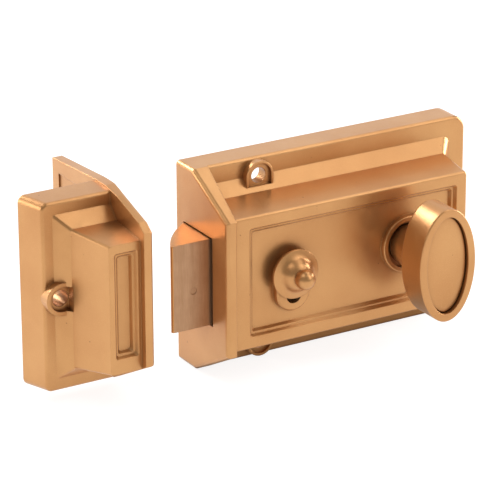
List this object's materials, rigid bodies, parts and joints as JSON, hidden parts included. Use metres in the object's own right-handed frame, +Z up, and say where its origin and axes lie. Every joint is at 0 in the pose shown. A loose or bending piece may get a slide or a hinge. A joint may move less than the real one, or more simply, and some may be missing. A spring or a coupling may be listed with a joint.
{
  "type": "rim night latch",
  "caption": "Surface-mounted spring latch with an oval turn knob, a sliding snib, a bevelled bolt and a matching angled strike.",
  "frame": {"origin": "on the knob's axis, in the plane of the door's inner face, at the middle of the back cover's tailpiece opening", "axes": "+X away from the door's edge, +Y into the door, +Z up; the bolt shoots towards -X"},
  "size_m": [0.1377, 0.0692, 0.059],
  "materials": {
    "gold_paint": "satin copper-gold lacquer on die-cast zinc",
    "zinc_steel": "zinc-plated steel",
    "spring_steel": "blued spring steel",
    "brass": "turned brass",
    "bolt_metal": "satin bare bronze, lightly brushed"
  },
  "bodies": {
    "case": {"case_shell": "gold_paint", "back_cover": "zinc_steel", "cover_screws": "zinc_steel", "spring_seat": "zinc_steel", "spring_guide": "zinc_steel", "bolt_spring": "spring_steel", "detent_spring": "spring_steel", "detent_rivets": "zinc_steel", "knob_bush": "brass"},
    "knob_group": {"knob": "gold_paint", "knob_face_disc": "gold_paint", "knob_screw": "zinc_steel", "knob_spindle": "zinc_steel", "spindle_clip": "spring_steel", "retractor_cam": "zinc_steel", "cam_pin": "zinc_steel"},
    "bolt_group": {"latch_bolt": "bolt_metal", "bolt_pin": "zinc_steel", "bolt_tail": "zinc_steel", "tail_rivets": "zinc_steel"},
    "snib_group": {"snib_button": "gold_paint", "snib_stem": "zinc_steel", "snib_stop_plate": "zinc_steel", "snib_washer": "zinc_steel"},
    "strike": {"strike_case": "gold_paint"}
  },
  "joints": [
    {"name": "knob_turn", "type": "hinge", "parent": "case", "child": "knob_group", "pos_m": [0, 0, 0], "axis": [0, 1, 0], "range_deg": [0, 80]},
    {"name": "bolt_slide", "type": "slide", "parent": "case", "child": "bolt_group", "axis": [1, 0, 0], "range_m": [0, 0.012], "stiffness_N_per_m": 150, "springref_m": -0.01, "deforming": ["bolt_spring"]},
    {"name": "snib_slide", "type": "slide", "parent": "case", "child": "snib_group", "axis": [0, 0, -1], "range_m": [0, 0.0066]},
    {"name": "strike_approach", "type": "slide", "parent": "case", "child": "strike", "axis": [1, 0, 0], "range_m": [0, 0.0192]}
  ],
  "couplings": [
    {"joint": "knob_turn", "follows": "bolt_slide", "rad_per_m": 116.35}
  ]
}
